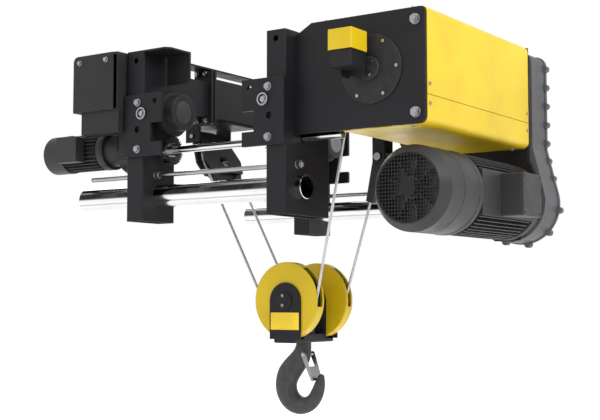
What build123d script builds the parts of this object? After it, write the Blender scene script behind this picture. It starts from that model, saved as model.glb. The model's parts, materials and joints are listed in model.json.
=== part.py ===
"""Electric wire rope hoist: a low-headroom trolley for the bottom flange of one girder, with four falls of rope.

Millimetres. +X runs from the counterweight side to the drum side, +Y along the girder, +Z up.
The origin is on the girder's centreline, midway along the trolley, at the height of the wheel treads.
"""
from build123d import *
import math
import os

os.makedirs("parts", exist_ok=True)

# ---- Driving dimensions ----
SIDES = {"left": -1, "right": 1}
ENDS = {"front": -1, "rear": 1}

post_x = 380.0              # centre of each post from the girder's centreline
post_width = 95.0
post_wall = 8.0
post_depth = {"left": 210.0, "right": 320.0}
post_top = {"left": 344.0, "right": 350.0}
post_bottom = -400.0
frame_y = 745.0             # outer faces of the posts
fit = 0.05                  # radial room of a fixed pin or tube in its hole

wheel_radius = 80.0
wheel_y = 615.0
wheel_inner_x = 210.0
tread_width = 52.0
axle_radius = 25.0
drive_module = 4.0
wheel_teeth = 50
drive_teeth = 31
drive_radius = 16.0
drive_z = wheel_radius - drive_module * (wheel_teeth + drive_teeth) / 2

tube_radius = 50.0
tube_wall = 8.0
tube_y = 626.5
tube_z = -284.0
tie_rod_radius = 10.0
tie_rod_y = 660.0
tie_rod_z = -195.0

drum_x = 790.0
drum_z = 154.0
drum_front_y = -664.0       # inner face of the front end plate
drum_rear_y = 262.0         # front face of the gearbox mounting plate
plate_thickness = 12.0
drum_pitch_radius = 160.0   # to the centre of the rope
drum_pitch = 14.5
drum_wall = 14.0
case_left = 427.5
case_right = 1027.0
case_bottom = -75.0
case_top = 373.0

rope_radius = 6.5
groove_gap = 0.3            # between the rope and a groove that turns under it
sheave_radius = 150.0       # hook block sheaves, to the rope's centre
return_radius = 120.0       # return sheave, to the rope's centre

block_x = 20.0
block_y = -18.0
block_z = -745.0
fall_spacing = 240.0        # between the two hook block sheaves
cover_radius = 175.0
cover_width = 55.0

motor_radius = 170.5
motor_front_y = -630.0
hook_seat_radius = 48.0
hook_seat_z = -1143.0
hook_thickness = 70.0

TURN = {"x": (0, 90, 0), "y": (90, 0, 0), "z": (0, 0, 0)}


# ---- Helpers, used inside a part's own block ----
def block(x, y, z, mode=Mode.ADD):
    """A box between two limits on each axis, in either order."""
    centre = [(limits[0] + limits[1]) / 2 for limits in (x, y, z)]
    with Locations(tuple(centre)):
        return Box(abs(x[1] - x[0]), abs(y[1] - y[0]), abs(z[1] - z[0]), mode=mode)


def bar(axis, span, across, radius, mode=Mode.ADD):
    """A round bar along one axis. across is its place on the other two axes, in X, Y, Z order."""
    middle = (span[0] + span[1]) / 2
    centre = {"x": (middle, *across), "y": (across[0], middle, across[1]), "z": (*across, middle)}[axis]
    with Locations(centre):
        return Cylinder(radius, abs(span[1] - span[0]), rotation=TURN[axis], mode=mode)


def nut(axis, span, across, flats):
    """A hexagonal nut or bolt head along one axis, flats across."""
    normal = {"x": (1, 0, 0), "y": (0, 1, 0), "z": (0, 0, 1)}[axis]
    start = min(span)
    centre = {"x": (start, *across), "y": (across[0], start, across[1]), "z": (*across, start)}[axis]
    with BuildSketch(Plane(origin=centre, z_dir=normal), mode=Mode.PRIVATE) as hexagon:
        RegularPolygon(flats / 2, 6, major_radius=False)
    return extrude(hexagon.sketch, amount=abs(span[1] - span[0]), dir=normal)


def bolt(axis, face, outward, across, flats=24.0, head=11.0, washer=2.5):
    """A bolt head on its washer, on a face at one place along an axis, pointing outward (+1 or -1)."""
    top = face + outward * washer
    bar(axis, (face, top), across, flats * 0.72)
    nut(axis, (top, top + outward * head), across, flats)


def export_group(node, pieces):
    """Write several separate solids as one node."""
    export_step(Compound(label=node, children=pieces), f"parts/{node}.step")


def involute(angle):
    return math.tan(angle) - angle


def gear_sketch(plane, teeth, module, tooth_faces_mate, bore):
    """A spur gear's face. The plane's X direction points at the mating gear."""
    pressure = math.radians(20)
    pitch = module * teeth / 2
    base = pitch * math.cos(pressure)
    root = pitch - 1.2 * module
    tip = pitch + 0.8 * module
    half_pitch_tooth = math.pi / (2 * teeth) - 0.06 * module / pitch
    low = max(base * 1.0005, root)
    radii = [low, (low + tip) / 2, tip]
    first = 0 if tooth_faces_mate else math.pi / teeth
    outline = []
    for number in range(teeth):
        middle = first + 2 * math.pi * number / teeth
        halves = [half_pitch_tooth + involute(pressure) - involute(math.acos(base / r)) for r in radii]
        rising = [(root, halves[0])] * (root < low) + list(zip(radii, halves))
        outline += [(r * math.cos(middle - h), r * math.sin(middle - h)) for r, h in rising]
        outline += [(r * math.cos(middle + h), r * math.sin(middle + h)) for r, h in reversed(rising)]
    with BuildSketch(plane, mode=Mode.PRIVATE) as face:
        with BuildLine():
            Polyline(*outline, close=True)
        make_face()
        Circle(bore, mode=Mode.SUBTRACT)
    return face.sketch


def sheave_ring(centre, axis, radial, pitch_radius, width, bore):
    """A grooved sheave about an axis through centre, with a thinner web."""
    outer = pitch_radius + 9
    mouth = 16.5
    bottom = pitch_radius - rope_radius - groove_gap
    web = width / 2 - 9
    plane = Plane(origin=centre, x_dir=radial, z_dir=Vector(*radial).cross(Vector(*axis)))
    with BuildSketch(plane, mode=Mode.PRIVATE) as section:
        with BuildLine():
            Polyline((outer, -mouth), (outer, -width / 2), (bottom - 18, -width / 2), (bottom - 26, -web),
                     (bore + 28, -web), (bore + 20, -width / 2), (bore, -width / 2), (bore, width / 2),
                     (bore + 20, width / 2), (bore + 28, web), (bottom - 26, web), (bottom - 18, width / 2),
                     (outer, width / 2), (outer, mouth))
            ThreePointArc((outer, mouth), (bottom, 0), (outer, -mouth))
        make_face()
    return revolve(section.sketch, axis=Axis(centre, axis))


# ---- Trolley frame: four hollow posts ----
post_inner = post_x - post_width / 2
post_outer = post_x + post_width / 2
posts = []

for end_name, end in ENDS.items():
    for side_name, side in SIDES.items():
        depth = post_depth[side_name]
        top = post_top[side_name]
        near, far = end * frame_y, end * (frame_y - depth)
        with BuildPart() as post:
            block((side * post_inner, side * post_outer), (near, far), (post_bottom, top))
            block((side * (post_inner + post_wall), side * (post_outer - post_wall)),
                  (near - end * post_wall, far + end * post_wall),
                  (post_bottom - 1, top - post_wall), mode=Mode.SUBTRACT)
            upright = post.edges().filter_by(Axis.Z).group_by(SortBy.LENGTH)[-1]
            fillet(upright, radius=6)
            through = (side * (post_inner - 5), side * (post_outer + 5))
            bar("x", through, (end * tube_y, tube_z), tube_radius + fit, mode=Mode.SUBTRACT)
            bar("x", through, (end * tie_rod_y, tie_rod_z), tie_rod_radius + 1, mode=Mode.SUBTRACT)
            bar("x", through, (end * wheel_y, wheel_radius), axle_radius + fit, mode=Mode.SUBTRACT)
            bar("y", (near - end * 20, near + end * 20), (side * post_x, top - 35), 13, mode=Mode.SUBTRACT)
            if end_name == "front":
                bar("x", through, (end * wheel_y, drive_z), drive_radius + 4, mode=Mode.SUBTRACT)
        post.part.label = f"{end_name}_{side_name}_post"
        posts.append(post.part)
export_group("posts", posts)

# ---- Wheel end plates, notched for the edge of the girder flange ----
plate_inner_x = 220.0
plate_outer_x = 430.0
plate_low = -120.0
plate_high = 155.0
plate_deep = 15.0
eye_radius = 15.0

with BuildPart() as end_plates:
    for end in ENDS.values():
        for side in SIDES.values():
            with BuildSketch(Plane(origin=(0, end * frame_y, 0), x_dir=(side, 0, 0), z_dir=(0, end, 0))) as face:
                up = -end * side
                with BuildLine():
                    Polyline((plate_inner_x, up * plate_low), (plate_inner_x, up * -60), (280, up * -60),
                             (280, up * 25), (plate_inner_x, up * 25), (plate_inner_x, up * plate_high),
                             (plate_outer_x, up * plate_high), (plate_outer_x, up * plate_low), close=True)
                make_face()
                fillet(face.vertices().group_by(Axis.X)[-1 if side > 0 else 0], radius=8)
                with Locations((357.5, 0)):
                    Circle(eye_radius, mode=Mode.SUBTRACT)
                with Locations((257, up * 118)):
                    Circle(12.5, mode=Mode.SUBTRACT)
            extrude(amount=plate_deep)
end_plates.part.label = "end_plates"
export_step(end_plates.part, "parts/end_plates.step")

with BuildPart() as end_plate_bolts:
    for end in ENDS.values():
        face_y = end * (frame_y + plate_deep)
        for side in SIDES.values():
            for height in (118, -87):
                bolt("y", face_y, end, (side * 353, height))
            bar("y", (face_y, face_y + end * 9), (side * 329, 68), 26.5)
            bar("y", (face_y, face_y + end * 12), (side * 329, 68), 20, mode=Mode.SUBTRACT)
            bolt("y", face_y, end, (side * 329, 68), flats=20, head=7)
end_plate_bolts.part.label = "end_plate_bolts"

# ---- Cross tubes and the threaded rods that set the gauge ----
tube_span = (-789.0, 452.5)
rod_span = (-720.0, 455.0)

cross_tubes = []
for end_name, end in ENDS.items():
    with BuildPart() as tube:
        bar("x", tube_span, (end * tube_y, tube_z), tube_radius)
        chamfer(tube.edges(), length=2)
        bar("x", (tube_span[0] - 1, tube_span[1] + 1), (end * tube_y, tube_z), tube_radius - tube_wall,
            mode=Mode.SUBTRACT)
    tube.part.label = f"{end_name}_cross_tube"
    cross_tubes.append(tube.part)
export_group("cross_tubes", cross_tubes)

with BuildPart() as tie_rods:
    for end in ENDS.values():
        bar("x", rod_span, (end * tie_rod_y, tie_rod_z), tie_rod_radius)
    chamfer(tie_rods.edges(), length=1.5)
tie_rods.part.label = "tie_rods"

nut_bore = tie_rod_radius + fit
with BuildPart() as tie_rod_nuts:
    for end in ENDS.values():
        place = (end * tie_rod_y, tie_rod_z)
        for side in SIDES.values():
            for face, out in ((side * post_inner, -side), (side * post_outer, side)):
                bar("x", (face, face + out * 3), place, 18.5)
                nut("x", (face + out * 3, face + out * 19), place, 30)
        bar("x", rod_span, place, nut_bore, mode=Mode.SUBTRACT)
tie_rod_nuts.part.label = "tie_rod_nuts"

# ---- Side beams along the girder ----
beam_web = 10.0
beam_flange = 70.0
splice_y = -280.0
splice_places = [(x, height) for x in (-345, -395) for height in (98, 320)]


def channel(inner_x, toward, y, z):
    """A channel along Y, its web at inner_x and its flanges pointing away from the girder."""
    block((inner_x, inner_x + toward * beam_web), y, z)
    for low, high in ((z[0], z[0] + beam_web), (z[1] - beam_web, z[1])):
        block((inner_x, inner_x + toward * beam_flange), y, (low, high))


left_front_y = (-(frame_y - post_depth["left"]), splice_y - 6)
left_rear_y = (splice_y + 6, frame_y - post_depth["left"])
left_beams = []
for name, y, high in (("left_front_beam", left_front_y, 275.0), ("left_rear_beam", left_rear_y, 300.0)):
    with BuildPart() as beam:
        channel(-(post_inner + 4), -1, y, (115, high))
        flange_y = (y[1] - 12, y[1]) if y[1] < 0 else (y[0], y[0] + 12)
        block((-(post_inner - 20), -(post_outer - 10)), flange_y, (85, 335))
        for x, height in splice_places:
            bar("y", flange_y, (x, height), 8 + fit, mode=Mode.SUBTRACT)
    beam.part.label = name
    left_beams.append(beam.part)

with BuildPart() as left_beam_cap:
    block((-(post_inner - 2), -(post_outer - 5)), (-(frame_y - post_depth["left"]) + 2, left_rear_y[1] - 2),
          (336, 344))
left_beam_cap.part.label = "left_beam_cap"

with BuildPart() as splice_bolts:
    for x, height in splice_places:
        bar("y", (splice_y - 38, splice_y + 38), (x, height), 8)
        bar("y", (splice_y - 6, splice_y + 6), (x, height), 12)
        for face, out in ((splice_y - 18, -1), (splice_y + 18, 1)):
            nut("y", (face, face + out * 13), (x, height), 24)
splice_bolts.part.label = "splice_bolts"

with BuildPart() as right_beam:
    span = frame_y - post_depth["right"]
    channel(post_inner + 4, 1, (-span, span), (95, 330))
right_beam.part.label = "right_beam"

# ---- Hood over the left front wheel ----
with BuildPart() as wheel_hood:
    with BuildSketch(Plane.XY.offset(post_top["left"])):
        with BuildLine():
            Polyline((-430, -745), (-215, -745), (-195, -725), (-195, -590), (-430, -590), close=True)
        make_face()
    extrude(amount=8)
    block((-324, -195), (-600, -590), (215, post_top["left"] + 8))
wheel_hood.part.label = "wheel_hood"

# ---- Electrical box on the left ----
elec_x = (-703.0, -(post_outer + 12.5))
elec_y = (-800.0, -560.0)
elec_z = (95.0, 350.0)
sheet = 3.0

with BuildPart() as electrical_box:
    block(elec_x, elec_y, elec_z)
    fillet(electrical_box.edges().filter_by(Axis.Y).sort_by(lambda e: e.center().Z - e.center().X)[-1], 26)
    block((elec_x[0] + sheet, elec_x[1] - sheet), (elec_y[0] - 1, elec_y[1] - sheet),
          (elec_z[0] + sheet, elec_z[1] - sheet - 8), mode=Mode.SUBTRACT)
electrical_box.part.label = "electrical_box"

with BuildPart() as electrical_box_lid:
    block((elec_x[0], elec_x[1] - 20), (elec_y[0] - 8, elec_y[0]), elec_z)
    fillet(electrical_box_lid.edges().filter_by(Axis.Y).sort_by(lambda e: e.center().Z - e.center().X)[-1], 26)
    chamfer(electrical_box_lid.faces().sort_by(Axis.Y)[0].edges(), length=2)
electrical_box_lid.part.label = "electrical_box_lid"

with BuildPart() as electrical_panel:
    block((-665, elec_x[1]), (-790, -705), (-5, elec_z[0]))
    block((-662, elec_x[1] - sheet), (-787, -704), (-2, elec_z[0] + 1), mode=Mode.SUBTRACT)
electrical_panel.part.label = "electrical_panel"

with BuildPart() as electrical_box_screws:
    for x in (-660, -500):
        bolt("y", elec_y[0] - 8, -1, (x, 318), flats=17, head=9)
electrical_box_screws.part.label = "electrical_box_screws"

# ---- Wheels on fixed axles; the two front ones have gear rims ----
gear_rim = (wheel_inner_x + tread_width, wheel_inner_x + tread_width + 36)
hub_end = 322.0
run_gap = 0.06              # radial room of a turning fit

for end_name, end in ENDS.items():
    for side_name, side in SIDES.items():
        node = f"{end_name}_{side_name}_wheel"
        centre = (end * wheel_y, wheel_radius)
        with BuildPart() as wheel:
            bar("x", (side * wheel_inner_x, side * (gear_rim[0] + 1)), centre, wheel_radius)
            fillet(wheel.edges().sort_by(Axis.X)[0 if side > 0 else -1], radius=5)
            bar("x", (side * gear_rim[0], side * gear_rim[1]), centre, wheel_radius + 16)
            bar("x", (side * (gear_rim[1] - 1), side * hub_end), centre, 44)
            if end_name == "front":
                rim = Plane(origin=(side * (gear_rim[0] + 8), *centre), x_dir=(0, 0, -1), z_dir=(side, 0, 0))
                extrude(gear_sketch(rim, wheel_teeth, drive_module, False, axle_radius + 20), amount=28)
            bar("x", (side * (wheel_inner_x - 1), side * (wheel_inner_x + 6)), centre, 52, mode=Mode.SUBTRACT)
            bar("x", (side * (wheel_inner_x + 5), side * (hub_end + 1)), centre, axle_radius + run_gap,
                mode=Mode.SUBTRACT)
        wheel.part.label = node
        export_step(wheel.part, f"parts/{node}.step")

with BuildPart() as wheel_caps:
    for end in ENDS.values():
        for side in SIDES.values():
            centre = (end * wheel_y, wheel_radius)
            bar("x", (side * (wheel_inner_x + 1), side * (wheel_inner_x + 5)), centre, 51)
            bar("x", (side * (wheel_inner_x + 5), side * (wheel_inner_x + 10)), centre, axle_radius)
wheel_caps.part.label = "wheel_caps"

with BuildPart() as wheel_axles:
    for end in ENDS.values():
        for side in SIDES.values():
            centre = (end * wheel_y, wheel_radius)
            bar("x", (side * (wheel_inner_x + 10), side * (post_outer + 4)), centre, axle_radius)
            bar("x", (side * (post_outer - 6), side * (post_outer + 5)), centre, axle_radius - 9,
                mode=Mode.SUBTRACT)
wheel_axles.part.label = "wheel_axles"

with BuildPart() as axle_keepers:
    for end in ENDS.values():
        for side in SIDES.values():
            centre = (end * wheel_y, wheel_radius)
            bar("x", (side * post_outer, side * (post_outer + 9)), centre, 38)
            bar("x", (side * post_outer, side * (post_outer + 10)), centre, axle_radius + fit,
                mode=Mode.SUBTRACT)
            near = end * (wheel_y - 50)
            block((side * post_outer, side * (post_outer + 8)), (near, near - end * 24), (12, 110))
axle_keepers.part.label = "axle_keepers"

# ---- Travel drive: cross shaft, two-stage gearbox and motor ----
travel_x = -post_outer
output_teeth, layshaft_pinion_teeth, layshaft_teeth, travel_pinion_teeth = 36, 12, 48, 12
output_module = 2.5
input_module = 2.0
travel_centres = output_module * (output_teeth + layshaft_pinion_teeth) / 2
travel_rise = 22.0          # the motor's axis above the cross shaft's
layshaft_z = drive_z + travel_rise / 2
layshaft_y = -wheel_y + math.sqrt(travel_centres**2 - (travel_rise / 2)**2)
travel_z = drive_z + travel_rise
output_span = (-480.0, -458.0)
input_span = (-512.0, -494.0)
travel_case_span = (-640.0, -429.0)
travel_motor_span = (-920.0, -640.5)


def gear_at(x_span, place, mate, teeth, module, faces_mate, bore):
    """A spur gear about an axis along X, with its reference tooth or gap facing its mate."""
    toward = (0, mate[0] - place[0], mate[1] - place[1])
    plane = Plane(origin=(x_span[0], *place), x_dir=toward, z_dir=(1, 0, 0))
    return extrude(gear_sketch(plane, teeth, module, faces_mate, bore), amount=x_span[1] - x_span[0])


shaft_place = (-wheel_y, drive_z)
layshaft_place = (layshaft_y, layshaft_z)
travel_place = (-wheel_y, travel_z)
wheel_place = (-wheel_y, wheel_radius)

with BuildPart() as drive_shaft:
    bar("x", (output_span[0] - 8, 620), shaft_place, drive_radius)
    for side in SIDES.values():
        face = side * (gear_rim[0] + 8)
        gear_at(sorted((face, face + side * 28)), shaft_place, wheel_place, drive_teeth, drive_module, True,
                drive_radius - 1)
        bar("x", (face - side * 18, face), shaft_place, 30)
    gear_at(output_span, shaft_place, layshaft_place, output_teeth, output_module, False, drive_radius - 1)
drive_shaft.part.label = "drive_shaft"
export_step(drive_shaft.part, "parts/drive_shaft.step")

with BuildPart() as travel_layshaft:
    bar("x", (-534, -436), layshaft_place, 10)
    gear_at(output_span, layshaft_place, shaft_place, layshaft_pinion_teeth, output_module, True, 9)
    gear_at(input_span, layshaft_place, travel_place, layshaft_teeth, input_module, False, 9)
travel_layshaft.part.label = "travel_layshaft"
export_step(travel_layshaft.part, "parts/travel_layshaft.step")

with BuildPart() as travel_rotor:
    bar("x", (-950, input_span[0]), travel_place, 8)
    bar("x", (-860, -700), travel_place, 46)
    gear_at(input_span, travel_place, layshaft_place, travel_pinion_teeth, input_module, True, 4)
    bar("x", (input_span[0] - 1, input_span[1]), travel_place, 5)
travel_rotor.part.label = "travel_rotor"

with BuildPart() as travel_fan:
    bar("x", (-950, -926), travel_place, 22)
    bar("x", (-930, -926), travel_place, 70)
    for turn in range(8):
        angle = math.radians(45 * turn)
        with Locations((-939, -wheel_y + 45 * math.cos(angle), travel_z + 45 * math.sin(angle))):
            Box(22, 50, 3, rotation=(math.degrees(angle), 0, 0))
    bar("x", (-951, -925), travel_place, 8 + 0.02, mode=Mode.SUBTRACT)
travel_fan.part.label = "travel_fan"

with BuildPart() as travel_motor:
    bar("x", travel_motor_span, travel_place, 70)
    fins = 28
    for turn in range(fins):
        angle = math.radians(360 * (turn + 0.5) / fins)
        radius = 75
        with Locations((-790, -wheel_y + radius * math.cos(angle), travel_z + radius * math.sin(angle))):
            Box(230, 22, 3.5, rotation=(math.degrees(angle), 0, 0))
    bar("x", (-664, -640.5), travel_place, 88)
    bar("x", (-890, -670), travel_place, 52, mode=Mode.SUBTRACT)
    bar("x", (-921, -640), travel_place, 10, mode=Mode.SUBTRACT)
travel_motor.part.label = "travel_motor"

with BuildPart() as travel_terminal_box:
    block((-860, -735), (-wheel_y - 140, -wheel_y - 87), (travel_z - 55, travel_z + 62))
    fillet(travel_terminal_box.edges().filter_by(Axis.Y), radius=6)
travel_terminal_box.part.label = "travel_terminal_box"

with BuildPart() as travel_fan_cowl:
    bar("x", (-1000, -890), travel_place, 89.5)
    fillet(travel_fan_cowl.edges().sort_by(Axis.X)[0], radius=5)
    bar("x", (-996, -889), travel_place, 87, mode=Mode.SUBTRACT)
    for ring in (22, 40, 58):
        for turn in range(ring // 2):
            angle = 4 * math.pi * turn / ring
            bar("x", (-1001, -995), (-wheel_y + ring * math.cos(angle), travel_z + ring * math.sin(angle)), 3.2,
                mode=Mode.SUBTRACT)
travel_fan_cowl.part.label = "travel_fan_cowl"
export_step(travel_fan_cowl.part, "parts/travel_fan_cowl.step")

case_middle = (-wheel_y + 30, drive_z + travel_rise / 2)
with BuildPart() as travel_gearbox:
    bar("x", (-550, travel_case_span[1]), case_middle, 100)
    bar("x", (travel_case_span[0], -540), travel_place, 74)
    bar("x", (travel_case_span[0], travel_case_span[0] + 16), travel_place, 88)
    chamfer(travel_gearbox.edges().filter_by(GeomType.CIRCLE).sort_by(Axis.X)[-1], length=6)
    block((-520, travel_case_span[1]), (-wheel_y - 85, -wheel_y - 60), (drive_z - 40, drive_z + 90))
    bar("x", (-528, -442), case_middle, 88, mode=Mode.SUBTRACT)
    bar("x", (-536, -434), layshaft_place, 10 + run_gap, mode=Mode.SUBTRACT)
    block((-441, -428), (-600, -520), (8, 60), mode=Mode.SUBTRACT)
    bar("x", (travel_case_span[0] - 1, -520), travel_place, 10, mode=Mode.SUBTRACT)
    bar("x", (-450, travel_case_span[1] + 1), shaft_place, drive_radius + run_gap, mode=Mode.SUBTRACT)
travel_gearbox.part.label = "travel_gearbox"
export_step(travel_gearbox.part, "parts/travel_gearbox.step")

# ---- Drum housing: end plate, bearings, tie bars and covers ----
drum_place = (drum_x, drum_z)
shaft_radius = 30.0
bearing_radius = 45.0
tie_places = [(987, 325), (987, -32.5)]
tie_bar_radius = 12.0
plate_front_y = drum_front_y - plate_thickness
mount_plate = (drum_rear_y, drum_rear_y + 18.0)

with BuildPart() as drum_end_plate:
    with BuildSketch(Plane.XZ.offset(-drum_front_y)) as face:
        with BuildLine():
            Polyline((case_left, case_bottom), (case_right, case_bottom), (case_right, case_top),
                     (508, case_top), (case_left, 328), close=True)
        make_face()
        fillet(face.vertices().group_by(Axis.X)[-1], radius=24)
        with Locations(drum_place):
            Circle(bearing_radius + fit, mode=Mode.SUBTRACT)
        with Locations(*tie_places):
            Circle(tie_bar_radius + fit, mode=Mode.SUBTRACT)
    extrude(amount=plate_thickness)
    block((case_left, case_left + 10), (drum_front_y, drum_front_y + 70), (125, 310))
drum_end_plate.part.label = "drum_end_plate"
export_step(drum_end_plate.part, "parts/drum_end_plate.step")

with BuildPart() as drum_bearings:
    bar("y", (plate_front_y, drum_front_y + 8), drum_place, bearing_radius)
    bar("y", (drum_rear_y - 4, mount_plate[1]), drum_place, bearing_radius)
    bar("y", (plate_front_y - 1, mount_plate[1] + 1), drum_place, shaft_radius + run_gap, mode=Mode.SUBTRACT)
drum_bearings.part.label = "drum_bearings"

flange_front_y = plate_front_y - 8
with BuildPart() as bearing_flange:
    bar("y", (flange_front_y, plate_front_y), drum_place, 137.5)
    chamfer(bearing_flange.edges().sort_by(Axis.Y)[0], length=2)
    bar("y", (flange_front_y - 18, flange_front_y), drum_place, 46)
    chamfer(bearing_flange.edges().sort_by(Axis.Y)[0], length=4)
    bar("y", (flange_front_y - 12, plate_front_y + 1), drum_place, shaft_radius + 1, mode=Mode.SUBTRACT)
bearing_flange.part.label = "bearing_flange"

with BuildPart() as bearing_flange_bolts:
    for turn in range(6):
        angle = math.radians(60 * turn)
        place = (drum_x + 118 * math.cos(angle), drum_z + 118 * math.sin(angle))
        nut("y", (flange_front_y, flange_front_y - 6), place, 13)
    for turn in range(3):
        angle = math.radians(50 + 120 * turn)
        place = (drum_x + 30 * math.cos(angle), drum_z + 30 * math.sin(angle))
        nut("y", (flange_front_y - 18, flange_front_y - 24), place, 11)
bearing_flange_bolts.part.label = "bearing_flange_bolts"

with BuildPart() as tie_bars:
    for place in tie_places:
        bar("y", (plate_front_y - 24, mount_plate[1]), place, tie_bar_radius)
        bar("y", (drum_front_y, mount_plate[0]), place, tie_bar_radius + 5)
        bar("y", (plate_front_y - 4, plate_front_y), place, 21)
        nut("y", (plate_front_y - 16, plate_front_y - 4), place, 34)
tie_bars.part.label = "tie_bars"

cover_gap = 0.5
cover_sheet = 2.5
seam_z = 35.0
cover_y = (drum_front_y, drum_rear_y)
outer_right = case_right + cover_gap + cover_sheet
outer_top = case_top + cover_gap + cover_sheet
outer_bottom = case_bottom - cover_gap - cover_sheet

with BuildPart() as upper_cover:
    with BuildSketch(Plane.XZ.offset(-cover_y[1])) as section:
        with BuildLine():
            outside = FilletPolyline((case_left + 4, 331), (506.5, outer_top), (outer_right, outer_top),
                                     (outer_right, seam_z + 1), radius=24)
            offset(outside, amount=cover_sheet, side=Side.RIGHT)
        make_face()
    extrude(amount=cover_y[1] - cover_y[0])
upper_cover.part.label = "upper_cover"
export_step(upper_cover.part, "parts/upper_cover.step")

with BuildPart() as lower_cover:
    with BuildSketch(Plane.XZ.offset(-cover_y[1])) as section:
        with BuildLine():
            outside = FilletPolyline((outer_right, seam_z - 1), (outer_right, outer_bottom), (650, outer_bottom),
                                     (650, outer_bottom + 12), radius=(30, 3))
            offset(outside, amount=cover_sheet, side=Side.RIGHT)
        make_face()
    extrude(amount=cover_y[1] - cover_y[0])
lower_cover.part.label = "lower_cover"
export_step(lower_cover.part, "parts/lower_cover.step")

with BuildPart() as cover_screws:
    for y in (cover_y[0] + 18, cover_y[1] - 14):
        for height in (seam_z + 42, seam_z - 34):
            bar("x", (outer_right, outer_right + 5), (y, height), 6.5)
        for x in (560, 958):
            bar("z", (outer_top, outer_top + 8), (x, y), 5)
        bar("z", (outer_bottom - 6, outer_bottom), (958, y), 6)
cover_screws.part.label = "cover_screws"

# ---- Geared limit switch on the bearing flange ----
switch_back_y = flange_front_y - 28

with BuildPart() as limit_switch_base:
    block((692, 788), (switch_back_y - 110, switch_back_y), (146, 213))
    chamfer(limit_switch_base.edges().filter_by(Axis.Z), length=3)
    block((698, 742), (switch_back_y, flange_front_y), (178, 213))
    block((700, 712), (switch_back_y - 60, switch_back_y), (120, 146))
    block((712, 786), (switch_back_y - 14, switch_back_y - 4), (124, 146))
limit_switch_base.part.label = "limit_switch_base"
export_step(limit_switch_base.part, "parts/limit_switch_base.step")

with BuildPart() as limit_switch_cover:
    block((686, 793.5), (switch_back_y - 117, switch_back_y), (213, 294))
    fillet(limit_switch_cover.edges().filter_by(Axis.Z), radius=4)
    fillet(limit_switch_cover.faces().sort_by(Axis.Z)[-1].edges(), radius=3)
    block((689, 790.5), (switch_back_y - 114, switch_back_y - 3), (212, 291), mode=Mode.SUBTRACT)
limit_switch_cover.part.label = "limit_switch_cover"
export_step(limit_switch_cover.part, "parts/limit_switch_cover.step")

# ---- Rope drum ----
drum_rope_y = -545.0        # where the rope leaves the drum
drum_shell = (-652.0, 246.0)
groove_first = drum_rope_y - 6 * drum_pitch
groove_count = 57
groove_bottom = drum_pitch_radius - rope_radius - 0.6
groove_crest = groove_bottom + 3.1

with BuildPart() as rope_drum:
    with BuildSketch(Plane.YZ.offset(drum_x)) as section:
        with BuildLine():
            zigzag = []
            for number in range(groove_count):
                middle = groove_first + number * drum_pitch
                zigzag += [(middle - drum_pitch / 2, drum_z + groove_crest), (middle, drum_z + groove_bottom)]
            last = zigzag[-1][0] + drum_pitch / 2
            flange = drum_z + drum_pitch_radius + 12
            Polyline((drum_shell[0], drum_z + groove_bottom - drum_wall), (drum_shell[0], flange),
                     (drum_shell[0] + 10, flange), (drum_shell[0] + 10, drum_z + groove_crest), *zigzag,
                     (last, drum_z + groove_crest), (drum_shell[1] - 10, drum_z + groove_crest),
                     (drum_shell[1] - 10, flange), (drum_shell[1], flange),
                     (drum_shell[1], drum_z + groove_bottom - drum_wall), close=True)
        make_face()
    revolve(axis=Axis((drum_x, 0, drum_z), (0, 1, 0)))
    for y in (drum_shell[0] + 2, drum_shell[1] - 22):
        bar("y", (y, y + 20), drum_place, groove_bottom - drum_wall + 1)
    bar("y", (-690, 346), drum_place, shaft_radius)
rope_drum.part.label = "rope_drum"
export_step(rope_drum.part, "parts/rope_drum.step")

drum_turns = 5
with BuildPart() as rope_on_drum:
    for turn in range(1, drum_turns + 1):
        with Locations(Location((drum_x, drum_rope_y - turn * drum_pitch, drum_z), (90, 0, 0))):
            Torus(drum_pitch_radius, rope_radius)
rope_on_drum.part.label = "rope_on_drum"
export_step(rope_on_drum.part, "parts/rope_on_drum.step")

# ---- Rope guide, carried along the drum on a bar ----
guide_place = (572.0, -8.0)
guide_span = (drum_rope_y - 14, drum_rope_y + 14)

with BuildPart() as rope_guide:
    bar("y", guide_span, drum_place, drum_pitch_radius + 24)
    block((guide_place[0] - 22, 660), guide_span, (guide_place[1] - 22, 60))
    bar("y", (guide_span[0] - 1, guide_span[1] + 1), drum_place, drum_pitch_radius + 9, mode=Mode.SUBTRACT)
    block((590, 640), (guide_span[0] - 1, guide_span[1] + 1), (62, 165), mode=Mode.SUBTRACT)
    bar("y", (guide_span[0] - 1, guide_span[1] + 1), guide_place, 10 + run_gap, mode=Mode.SUBTRACT)
rope_guide.part.label = "rope_guide"
export_step(rope_guide.part, "parts/rope_guide.step")

with BuildPart() as guide_bar:
    bar("y", (drum_front_y, drum_rear_y), guide_place, 10)
guide_bar.part.label = "guide_bar"

# ---- Hoist gear train, its shafts in one line from the motor to the drum ----
train = [(14, 70, 3.0), (14, 56, 4.0), (15, 72, 5.0)]     # pinion teeth, gear teeth, module
train_length = sum(module * (small + large) / 2 for small, large, module in train)
lean = math.radians(15.6)                                 # of that line from upright
motor_x = drum_x + train_length * math.sin(lean)
motor_z = drum_z - train_length * math.cos(lean)
motor_place = (motor_x, motor_z)
gear_layers = [(379.0, 404.0), (342.0, 372.0), (295.0, 335.0)]


def along_train(distance):
    """The X and Z of a point on the line from the motor's axis to the drum's."""
    return (motor_x - distance * math.sin(lean), motor_z + distance * math.cos(lean))


def train_gear(layer, distance, toward_drum, teeth, module, faces_mate, bore):
    """A gear about an axis along Y, with its reference tooth or gap facing its mate."""
    place = along_train(distance)
    sign = 1 if toward_drum else -1
    toward = (-sign * math.sin(lean), 0, sign * math.cos(lean))
    plane = Plane(origin=(place[0], layer[0], place[1]), x_dir=toward, z_dir=(0, 1, 0))
    return extrude(gear_sketch(plane, teeth, module, faces_mate, bore), amount=layer[1] - layer[0])


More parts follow.
